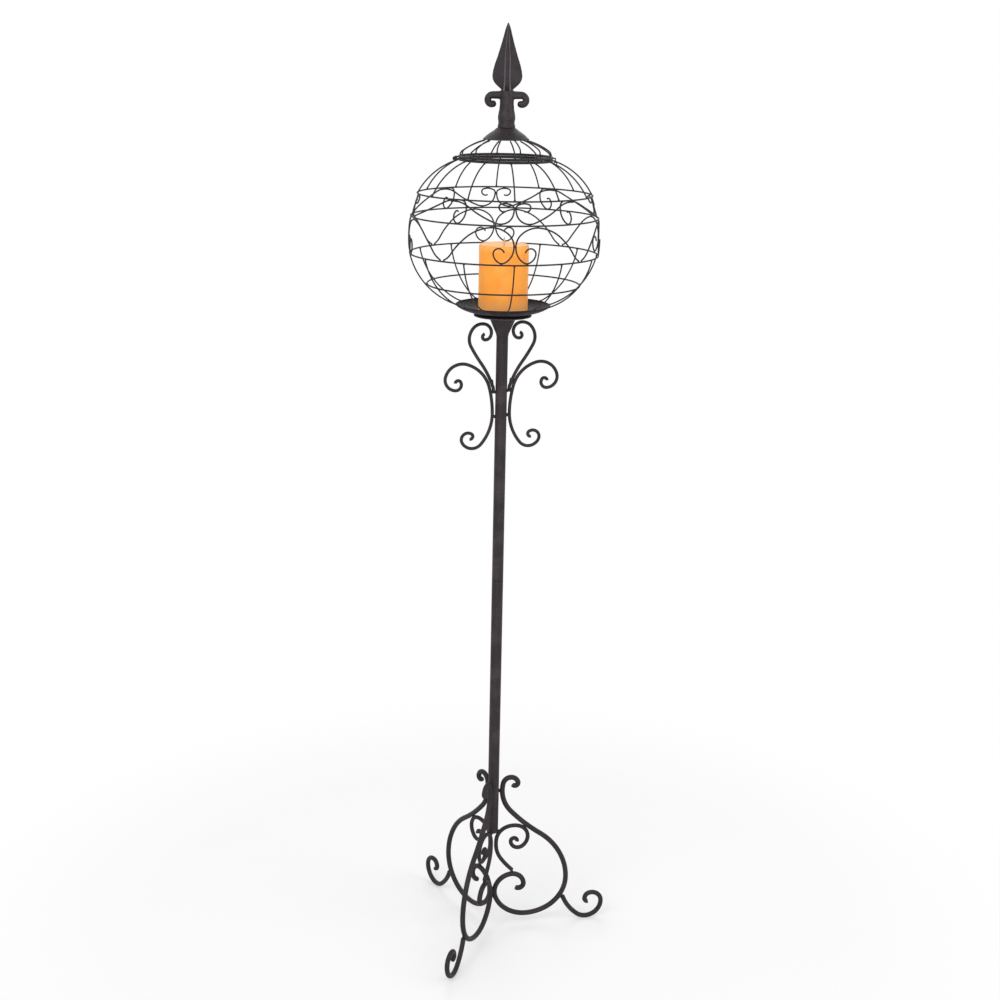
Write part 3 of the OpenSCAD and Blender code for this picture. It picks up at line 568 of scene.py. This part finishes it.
LOWER_MID = 26.7
UPPER_MID = 23.8
spiral_run = [(30, 21), (24, 38), (9, 60), (16, 50), (8, 70), (7.5, 50), (8.5, 50)]
arch_run = [(-24, 52), (-36, 46), (-64, 32), (-160, 13), (30, 31)]
curl_run = [(-5.2, 62), (-22, 46), (-4.2, 88), (-7, 100)]
trough_run = [(27, 19), (18, 45), (21.5, 47), (260, 10), (-52, 38)]
hook_run = [(27, 17), (22, 48), (12.5, 37), (400, 12), (-68, 31), (-10, 62), (-21, 75),
            (-6, 77), (-11, 84), (-3, 100)]
lower_flat = both_ways(LOWER_MID, spiral_run, arch_run)
upper_flat = both_ways(UPPER_MID, trough_run, curl_run)
hook_flat = both_ways(UPPER_MID, hook_run, curl_run)
hoops = [(CROWN.x, CROWN.y), (bow_at(belly_bow, SHOULDER_Z), SHOULDER_Z),
         (WAIST.x, WAIST.y)]


def touches(wire, reach=3.0):
    """Spots where a wire runs closest to a hoop, for its spot welds."""
    found = []
    for hoop_r, hoop_z in hoops:
        gaps = []
        for place in wire:
            level = Vector((place.x, place.y, 0))
            hoop = level.normalized() * hoop_r * MM + Vector((0, 0, hoop_z * MM))
            gaps.append(((place - hoop).length, (place + hoop) / 2))
        for i, (gap, middle) in enumerate(gaps):
            if gap < reach * MM and all(gap <= other for other, _ in gaps[max(i - 12, 0):i + 13]):
                found.append((middle, math.degrees(math.atan2(middle.y, middle.x))))
    return found


def scroll_pairs(name, node, flat, base, depth, pair_turns):
    wires = [on_globe(flat, base, depth, CAGE_TURN + turn, side)
             for turn in pair_turns for side in (1, -1)]
    own(round_wires(wires, WIRE), name, wrought_iron, "stand")
    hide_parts(node)
    knots = [knot for wire in wires for knot in touches(wire)]
    knots += [(spot(bow_at(belly_bow, base + mid) - depth - 0.6, base + mid, CAGE_TURN + turn),
               CAGE_TURN + turn)
              for turn in pair_turns for mid in ((LOWER_MID if base == WAIST.y else UPPER_MID),)]
    weld_beads(f"{name}_welds", knots, 1.45, "stand", fineness=2)


scroll_pairs("waist_scrolls", "lower_scrolls", lower_flat, WAIST.y, 0.2, (0, 90, 180, 270))
scroll_pairs("crown_scrolls", "upper_scrolls", upper_flat, SHOULDER_Z, 0.0, (90, 270))
scroll_pairs("hooked_scrolls", "hook_scrolls", hook_flat, SHOULDER_Z, LAP, (0, 180))


# ---- Hinge and lid frame ---------------------------------------------------------
# A three-barrel hinge on a plain pin joins the lid's ring to the cage's. Twelve wires
# rise from the lid's ring to the cap. A wire eye opposite the hinge serves to lift it.
dress(wrought_iron, "hinge_knuckle", "hinge_pin", "lid_ribs", "lid_straps", "lift_loop")
HINGE_TURN = 165.0
LID_Z = 1293.5
heavy_ring("lid_mouth", LID_Z + RING_SHIFT, "lid_ring", "lid")
weld_beads("knuckle_welds", [(spot(71.2, 1290.0, HINGE_TURN), HINGE_TURN)], 1.4, "stand",
           stretch=(0.8, 2.0, 0.9))
weld_beads("strap_welds",
           [(spot(71.2, LID_Z, HINGE_TURN, along), HINGE_TURN) for along in (-5.15, 5.15)]
           + [(spot(71.3, LID_Z, HINGE_TURN + 180), HINGE_TURN + 180)],
           1.3, "lid", stretch=(0.8, 1.4, 0.9))
weld_beads("lid_rib_welds",
           [(spot(MOUTH.x, LID_Z + 1.9, i * 360 / RIBS), i * 360 / RIBS)
            for i in range(RIBS)],
           1.5, "lid", stretch=(1, 1.2, 0.9), fineness=2)


# ---- Cap -------------------------------------------------------------------------
# A small bell of cast iron with a thick lip. It gathers the lid's wires and is the foot
# that the finial is bolted to.
RIM_Z = LID_Z + 25.6
CAP_TOP = RIM_Z + 17.0
cap = turned(
    [(3.1, CAP_TOP - 4.2), (13.2, CAP_TOP - 4.2), (24.0, RIM_Z + 6.0), (32.7, RIM_Z + 0.4),
     (32.7, RIM_Z), (34.0, RIM_Z), (34.5, RIM_Z + 0.5), (34.5, RIM_Z + 1.5),
     (33.8, RIM_Z + 2.1), (32.6, RIM_Z + 2.9), (30.0, RIM_Z + 5.4), (27.0, RIM_Z + 7.9),
     (23.5, RIM_Z + 10.4), (20.0, RIM_Z + 12.7), (17.2, RIM_Z + 14.6),
     (15.4, RIM_Z + 16.2), (14.2, CAP_TOP), (3.1, CAP_TOP)])
finish_edges(cap, 0.35, wobble=0.5)
own(cap, "lid_cap", cast_iron, "lid")
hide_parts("cap")


# ---- Finial ----------------------------------------------------------------------
# One iron casting: a turned stem, two side curls with knobbed ends, and a spear blade
# whose faces carry a pair of raised veins that meet at the tip. A stud below takes the nut.
FINIAL_TURN = -11.0
STEM_R = 13.2
STEM_H = 54.0
NECK_Z = CAP_TOP + STEM_H
BLADE_W = 45.0
BLADE_T = 11.0
BLADE_H = 96.3
VEIN_D = 2.8
ARM_Z = NECK_Z - 6.6
ARM_REACH = 21.2              # where the arms start to curl down
ARM_D = 12.6
KNOB_R = 5.0
blade_outline = [(0, 0.36), (0.05, 0.58), (0.10, 0.84), (0.16, 0.97), (0.21, 1.0),
                 (0.28, 0.97), (0.38, 0.86), (0.51, 0.67), (0.67, 0.46), (0.79, 0.32),
                 (0.94, 0.15), (1.0, 0.03)]
stem_outline = [(0, 1.0), (0.055, 1.0), (0.09, 0.94), (0.16, 0.92), (0.25, 0.99),
                (0.32, 0.98), (0.40, 0.92), (0.50, 0.84), (0.64, 0.79), (0.76, 0.80),
                (0.86, 0.83), (0.95, 0.80), (1.0, 0.76)]


def blade_at(share):
    """Half the blade's width and thickness at a share of its height."""
    for (h0, w0), (h1, w1) in zip(blade_outline, blade_outline[1:]):
        if share <= h1:
            w = w0 + (w1 - w0) * (share - h0) / (h1 - h0)
            return BLADE_W / 2 * w, BLADE_T / 2 * (0.3 + 0.7 * w)
    return 0.4, 1.0


def make_blade():
    """A lozenge ring pulled up the blade and squeezed to each width, then capped."""
    wide, thick = blade_at(0)
    bpy.ops.mesh.primitive_circle_add(vertices=4, radius=1.0, fill_type="NGON")
    bpy.ops.object.mode_set(mode="EDIT")
    bpy.ops.mesh.select_all(action="SELECT")
    bpy.ops.transform.resize(value=(wide * MM, thick * 0.72 * MM, 1), center_override=(0, 0, 0))
    bpy.ops.transform.translate(value=(0, 0, NECK_Z * MM))
    height = NECK_Z
    for i in range(1, 25):
        share = i / 24
        new_wide, new_thick = blade_at(share)
        lift = NECK_Z + BLADE_H * share - height
        bpy.ops.mesh.extrude_region_move(TRANSFORM_OT_translate={"value": (0, 0, lift * MM)})
        height += lift
        bpy.ops.transform.resize(value=(new_wide / wide, new_thick / thick, 1),
                                 center_override=(0, 0, height * MM))
        wide, thick = new_wide, new_thick
    bpy.ops.mesh.select_all(action="SELECT")
    bpy.ops.mesh.normals_make_consistent(inside=False)
    bpy.ops.object.mode_set(mode="OBJECT")
    return bpy.context.object


def vein(side, face):
    """A raised vein up one face of the blade, from below the neck to the tip."""
    places, sizes = [], []
    for i in range(25):
        share = -0.10 + 1.06 * i / 24
        wide, thick = blade_at(max(share, 0))
        across = 3.7 * min(1.0, (1.0 - share) * 1.9) * (1 + 0.25 * max(0, 0.15 - share) / 0.15)
        across = min(across, wide * 0.55)
        depth = thick * 0.72 * (1 - across / wide) + 0.6
        if share < 0.05:
            depth = max(depth, 7.4 - 60 * max(share, -0.1) ** 2)
        places.append((side * across * MM, face * depth * MM,
                       (NECK_Z + BLADE_H * share) * MM))
        sizes.append(max(0.3, 1 - 0.6 * max(share, 0)))
    return round_wires([places], VEIN_D, sides=3, radii=sizes)


def side_curl(side):
    """An arm that leaves the stem level, curls down and ends in a knob."""
    places = [(4.0 + i * 2.0, ARM_Z) for i in range(9)]
    places += bend_places(ARM_REACH, ARM_Z, 0, [(-7.2, 88), (-6.0, 110)], step=1.0)[1:]
    last = len(places) - 1
    sizes = [1.0 - 0.18 * min(1.0, i / 14) for i in range(last + 1)]
    arm = round_wires([[(side * x * MM, 0, z * MM) for x, z in places]], ARM_D, sides=5,
                      radii=sizes)
    x, z = places[-1]
    bpy.ops.mesh.primitive_uv_sphere_add(segments=24, ring_count=16, radius=KNOB_R * MM,
                                         location=(side * x * MM, 0, z * MM))
    knob = bpy.context.object
    bpy.ops.object.transform_apply(location=True, rotation=True, scale=True)
    return [arm, knob]


stem = turned([(0.5, CAP_TOP + 0.1)]
              + [(STEM_R * r, CAP_TOP + 0.1 + STEM_H * h) for h, r in stem_outline]
              + [(0.5, NECK_Z + 1.0)], sides=64)
bpy.ops.object.select_all(action="DESELECT")
bpy.ops.mesh.primitive_cylinder_add(vertices=24, radius=3.0 * MM, depth=16 * MM,
                                    location=(0, 0, (CAP_TOP - 4.0) * MM))
stud = bpy.context.object
bpy.ops.object.transform_apply(location=True, rotation=True, scale=True)
parts = [stem, stud, make_blade()]
for side in (-1, 1):
    parts += side_curl(side)
finial = join(parts)
bpy.context.view_layer.objects.active = finial
finial.select_set(True)
melt = finial.modifiers.new("melt", "REMESH")
melt.mode = "VOXEL"
melt.voxel_size = 0.65 * MM
bpy.ops.object.modifier_apply(modifier=melt.name)
soften = finial.modifiers.new("soften", "SMOOTH")
soften.factor = 0.5
soften.iterations = 4
bpy.ops.object.modifier_apply(modifier=soften.name)
grit = bpy.data.textures.new("sand grit", "CLOUDS")
grit.noise_scale = 2.2 * MM
sand = finial.modifiers.new("sand", "DISPLACE")
sand.texture = grit
sand.strength = 0.28 * MM
bpy.ops.object.modifier_apply(modifier=sand.name)
finial.data.transform(Matrix.Rotation(math.radians(FINIAL_TURN), 4, "Z"))
bpy.ops.object.shade_smooth()
finial.select_set(False)
own(finial, "spear_finial", cast_iron, "lid")
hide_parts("finial")

# The veins get a paler copy of the casting paint: a painted highlight along them, with rubbed
# wear mixed in.
vein_highlight_iron = metal_finish(
    "vein casting with painted highlight", paint=(0.075, 0.062, 0.072), cloud=(0.040, 0.031, 0.036),
    bare=(0.200, 0.165, 0.170), cloud_scale=60.0, grain_scale=800.0, roughness=0.38,
    rubs=0.60, bump_height=0.30 * MM, specular=0.45)
veins = join([vein(side, face) for side in (-1, 1) for face in (-1, 1)])
veins.data.transform(Matrix.Rotation(math.radians(FINIAL_TURN), 4, "Z"))
own(veins, "finial_veins", vein_highlight_iron, "lid")


# ---- Candle ----------------------------------------------------------------------
# A three-inch pillar of dyed paraffin, poured in a mould and rubbed: its edges are worn
# round, and its top has sunk a little round the wick. Its foot and top are painted paler
# as painted light through the wax, and a painted glow lifts the shaded foot.
CANDLE_R = 38.1
CANDLE_Z = FLOOR_Z + 0.3
CANDLE_TOP = CANDLE_Z + 101.6
FOOT_EDGE = 3.2
HEAD_EDGE = 3.6


def make_wax():
    material = bpy.data.materials.new("candle wax")
    material.use_nodes = True
    tree = material.node_tree
    shader = tree.nodes["Principled BSDF"]
    place = add_node(tree, "ShaderNodeTexCoord").outputs["Object"]
    height = add_node(tree, "ShaderNodeSeparateXYZ")
    tree.links.new(place, height.inputs[0])
    up = height.outputs["Z"]
    mottle = noise(tree, place, 45.0, 5.0, 0.6)
    bloom = noise(tree, place, 420.0, 3.0, 0.6)
    waver = maths(tree, "MULTIPLY", maths(tree, "SUBTRACT", mottle, 0.5), 16 * MM)
    level = maths(tree, "ADD", up, waver)
    deep = mix_colour(tree, band(tree, mottle, 0.30, 0.74),
                      (0.97, 0.315, 0.022, 1), (1.0, 0.385, 0.042, 1))
    # Painted light: the foot is painted paler and redder to offset the pan's shade on it.
    foot_painted_light = maths(tree, "SUBTRACT", 1.0,
                 band(tree, level, (CANDLE_Z + 1) * MM, (CANDLE_Z + 26) * MM))
    colour = mix_colour(tree, maths(tree, "MULTIPLY", foot_painted_light, 0.75), deep,
                        (1.0, 0.48, 0.16, 1))
    # Painted light: the top is painted paler, as light glowing through the wax edge.
    head = band(tree, level, (CANDLE_TOP - 14) * MM, (CANDLE_TOP + 2) * MM)
    colour = mix_colour(tree, maths(tree, "MULTIPLY", head, 0.55), colour,
                        (1.0, 0.50, 0.14, 1))
    dust = maths(tree, "MULTIPLY", band(tree, bloom, 0.56, 0.74), 0.16)
    colour = mix_colour(tree, dust, colour, (1.0, 0.72, 0.42, 1))
    tree.links.new(colour, shader.inputs["Base Color"])
    # Painted glow: emission stands in for light soaking through the wax, strongest in the shaded
    # foot.
    painted_glow = mix_colour(tree, maths(tree, "MULTIPLY", foot_painted_light, 0.8),
                        (0.32, 0.11, 0.008, 1), (0.95, 0.42, 0.15, 1))
    tree.links.new(painted_glow, shader.inputs["Emission Color"])
    shader.inputs["Emission Strength"].default_value = 0.25
    rough = maths(tree, "ADD", 0.36, maths(tree, "MULTIPLY", mottle, 0.22))
    tree.links.new(rough, shader.inputs["Roughness"])
    bump = add_node(tree, "ShaderNodeBump")
    bump.inputs["Strength"].default_value = 0.5
    bump.inputs["Distance"].default_value = 0.25 * MM
    tree.links.new(maths(tree, "ADD", maths(tree, "MULTIPLY", mottle, 0.7),
                         maths(tree, "MULTIPLY", bloom, 0.3)), bump.inputs["Height"])
    tree.links.new(bump.outputs["Normal"], shader.inputs["Normal"])
    shader.inputs["Subsurface Weight"].default_value = 0.5
    shader.inputs["Subsurface Radius"].default_value = (1.0, 0.42, 0.14)
    shader.inputs["Subsurface Scale"].default_value = 9 * MM
    shader.inputs["Specular IOR Level"].default_value = 0.45
    return material


pillar = turned(
    [(0.6, CANDLE_Z)]
    + rolled_rim(CANDLE_R - FOOT_EDGE, CANDLE_Z + FOOT_EDGE, FOOT_EDGE, 270, 360)
    + [(CANDLE_R - 0.15, CANDLE_Z + h) for h in (16, 32, 48, 64, 80)]
    + rolled_rim(CANDLE_R - HEAD_EDGE, CANDLE_TOP - HEAD_EDGE, HEAD_EDGE, 0, 105)
    + [(31.0, CANDLE_TOP - 0.7), (26.0, CANDLE_TOP - 1.3), (16.0, CANDLE_TOP - 2.0),
       (7.0, CANDLE_TOP - 2.6), (2.2, CANDLE_TOP - 2.2), (0.6, CANDLE_TOP - 3.0)], sides=160)
finish_edges(pillar, 0.0, smooth=60, wobble=0.5)
own(pillar, "pillar_candle", make_wax(), "candle_body")
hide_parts("candle")


# ---- Wick ------------------------------------------------------------------------
# Three strands of cotton twisted together and drawn through wax. It is set down into the
# candle and stands a centimetre clear of the wax.
def make_cotton():
    material = bpy.data.materials.new("waxed cotton")
    material.use_nodes = True
    tree = material.node_tree
    shader = tree.nodes["Principled BSDF"]
    place = add_node(tree, "ShaderNodeTexCoord").outputs["Object"]
    fibres = noise(tree, place, 2400.0, 4.0, 0.7)
    stain = noise(tree, place, 260.0, 2.0)
    colour = mix_colour(tree, band(tree, fibres, 0.35, 0.7),
                        (0.52, 0.44, 0.33, 1), (0.80, 0.74, 0.62, 1))
    colour = mix_colour(tree, maths(tree, "MULTIPLY", band(tree, stain, 0.45, 0.7), 0.5),
                        colour, (0.62, 0.34, 0.12, 1))
    tree.links.new(colour, shader.inputs["Base Color"])
    shader.inputs["Roughness"].default_value = 0.75
    bump = add_node(tree, "ShaderNodeBump")
    bump.inputs["Strength"].default_value = 0.7
    bump.inputs["Distance"].default_value = 0.08 * MM
    tree.links.new(fibres, bump.inputs["Height"])
    tree.links.new(bump.outputs["Normal"], shader.inputs["Normal"])
    return material


WICK_FOOT = CANDLE_TOP - 12.0
WICK_TOP = CANDLE_TOP + 10.0
strands = []
for k in range(3):
    strand = []
    for i in range(45):
        share = i / 44
        a = math.radians(120 * k + 900 * share)
        lean = 0.35 * max(0, share - 0.5) ** 2
        strand.append(Vector((0.55 * math.cos(a) + lean, 0.55 * math.sin(a),
                              WICK_FOOT + (WICK_TOP - WICK_FOOT - 0.4) * share)) * MM)
    strands.append(strand)
wick = round_wires(strands, 1.2, sides=3)
own(wick, "wick_strands", make_cotton(), "candle_body")
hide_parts("wick")


# ---- Floor, light and camera -----------------------------------------------------
# A pale seamless floor that runs into a white backdrop. A broad soft lamp stands on the
# left, weaker ones on the right, low in front and behind. The camera is set where the
# photograph was taken from.
bpy.ops.object.select_all(action="DESELECT")
bpy.ops.mesh.primitive_plane_add(size=60, location=(0, 0, 0))
floor = bpy.context.object
floor.name = "floor"


def backdrop_seen(tree):
    """1 for rays that should find the white backdrop: seen, mirrored or through glass."""
    seen = add_node(tree, "ShaderNodeLightPath")
    pair = maths(tree, "MAXIMUM", seen.outputs["Is Camera Ray"], seen.outputs["Is Glossy Ray"])
    return maths(tree, "MAXIMUM", pair, seen.outputs["Is Transmission Ray"])


paper = bpy.data.materials.new("studio paper")
paper.use_nodes = True
tree = paper.node_tree
shade = tree.nodes["Principled BSDF"]
shade.inputs["Base Color"].default_value = (0.96, 0.96, 0.96, 1)
shade.inputs["Roughness"].default_value = 0.9
shade.inputs["Specular IOR Level"].default_value = 0.0
far = add_node(tree, "ShaderNodeVectorMath", operation="LENGTH")
tree.links.new(add_node(tree, "ShaderNodeTexCoord").outputs["Object"], far.inputs[0])
fade = maths(tree, "MAXIMUM", band(tree, far.outputs["Value"], 0.30, 1.05), 0.36)
fade = maths(tree, "MULTIPLY", fade, backdrop_seen(tree))
glow = add_node(tree, "ShaderNodeEmission")
blend = add_node(tree, "ShaderNodeMixShader")
tree.links.new(fade, blend.inputs[0])
tree.links.new(shade.outputs[0], blend.inputs[1])
tree.links.new(glow.outputs[0], blend.inputs[2])
tree.links.new(blend.outputs[0], tree.nodes["Material Output"].inputs["Surface"])
floor.data.materials.append(paper)

world = bpy.data.worlds.new("studio")
scene.world = world
world.use_nodes = True
sky = world.node_tree
for n in list(sky.nodes):
    sky.nodes.remove(n)
dim = add_node(sky, "ShaderNodeBackground")
dim.inputs["Strength"].default_value = 0.62
white = add_node(sky, "ShaderNodeBackground")
for n in (dim, white):
    n.inputs["Color"].default_value = (1, 1, 1, 1)
blend = add_node(sky, "ShaderNodeMixShader")
out = add_node(sky, "ShaderNodeOutputWorld")
sky.links.new(backdrop_seen(sky), blend.inputs[0])
sky.links.new(dim.outputs[0], blend.inputs[1])
sky.links.new(white.outputs[0], blend.inputs[2])
sky.links.new(blend.outputs[0], out.inputs["Surface"])

for name, place, aim, size, power in (
        ("key lamp", (-2.2, -2.6, 3.4), (0, 0, 0.8), 2.6, 62),
        ("fill lamp", (2.8, -1.6, 2.2), (0, 0, 0.8), 2.2, 24),
        ("low lamp", (-0.5, -3.2, 0.5), (0, 0, 0.9), 1.6, 26),
        ("back lamp", (0.6, 3.0, 3.0), (0, 0, 0.9), 2.0, 26)):
    bpy.ops.object.light_add(type="AREA", location=place)
    lamp = bpy.context.object
    lamp.name = name
    lamp.data.size = size
    lamp.data.energy = power
    lamp.rotation_mode = "QUATERNION"
    lamp.rotation_quaternion = (Vector(aim) - Vector(place)).to_track_quat("-Z", "Y")

PHOTO_FOCAL = 1565.6          # focal length in pixels of a 1000-pixel-wide picture
LOOK_DOWN = math.radians(15.855)
LOOK_TURN = math.radians(-11.19)
LEAN = math.radians(1.124)
DISTANCE = 2.3916
EYE_HEIGHT = 1.4399
bpy.ops.object.camera_add()
camera = bpy.context.object
camera.name = "camera"
camera.data.sensor_width = 36.0
camera.data.lens = 36.0 * PHOTO_FOCAL / 1000.0
camera.data.shift_x = 0.913 / 1000.0
eye = Matrix.Rotation(LOOK_TURN, 4, "Z") @ Vector((0, -DISTANCE, EYE_HEIGHT))
camera.matrix_world = (Matrix.Translation(eye) @ Matrix.Rotation(LOOK_TURN, 4, "Z")
                       @ Matrix.Rotation(math.pi / 2 - LOOK_DOWN, 4, "X")
                       @ Matrix.Rotation(LEAN, 4, "Z"))
scene.camera = camera
scene.view_settings.view_transform = "Standard"
